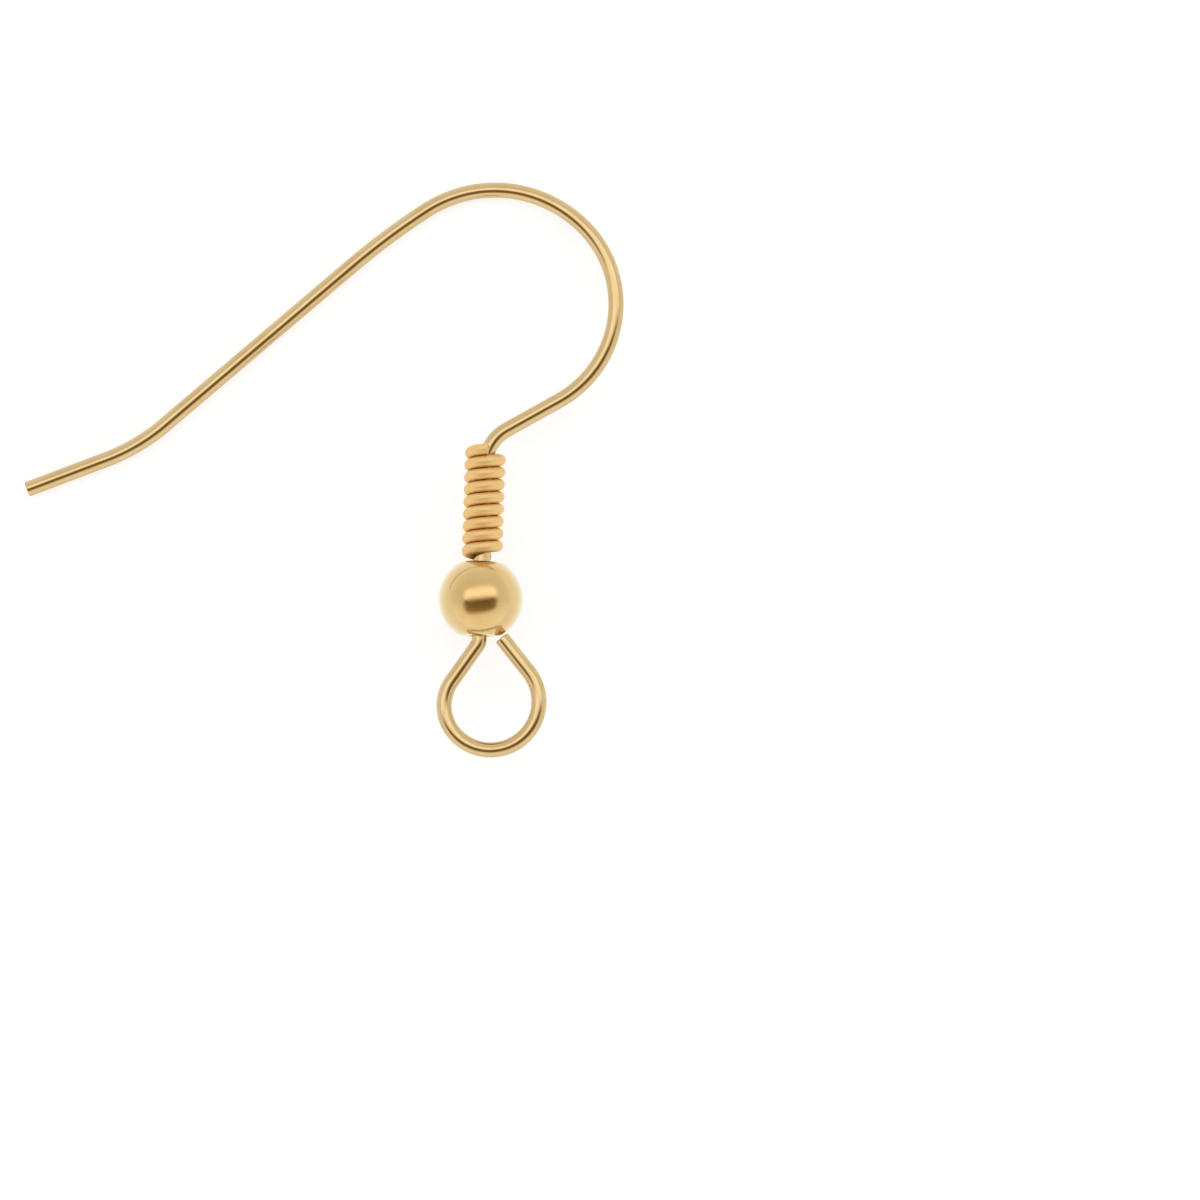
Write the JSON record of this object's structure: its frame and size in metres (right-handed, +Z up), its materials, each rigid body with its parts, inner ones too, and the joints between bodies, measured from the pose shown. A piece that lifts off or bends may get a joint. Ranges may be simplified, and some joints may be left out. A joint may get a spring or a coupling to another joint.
{
  "type": "ear wire",
  "caption": "Fish-hook ear wire: a bent round wire with a cut tip, an arch for the ear, a close coil and a drilled ball on its shank, and an open loop for a charm.",
  "frame": {"origin": "on the surface it lies on, under the middle of its outline", "axes": "+Z up from the surface, +Y along the shank from the loop to the coil, +X to the right, with the cut tip on the left"},
  "size_m": [0.0212, 0.0206, 0.003],
  "materials": {
    "wire": "gold plated drawn wire, softly polished",
    "coil": "gold plated drawn wire, softly polished",
    "ball": "gold plated, polished bright"
  },
  "bodies": {
    "root": {"ear_hook": "wire", "coil": "coil", "ball": "ball"}
  },
  "joints": []
}
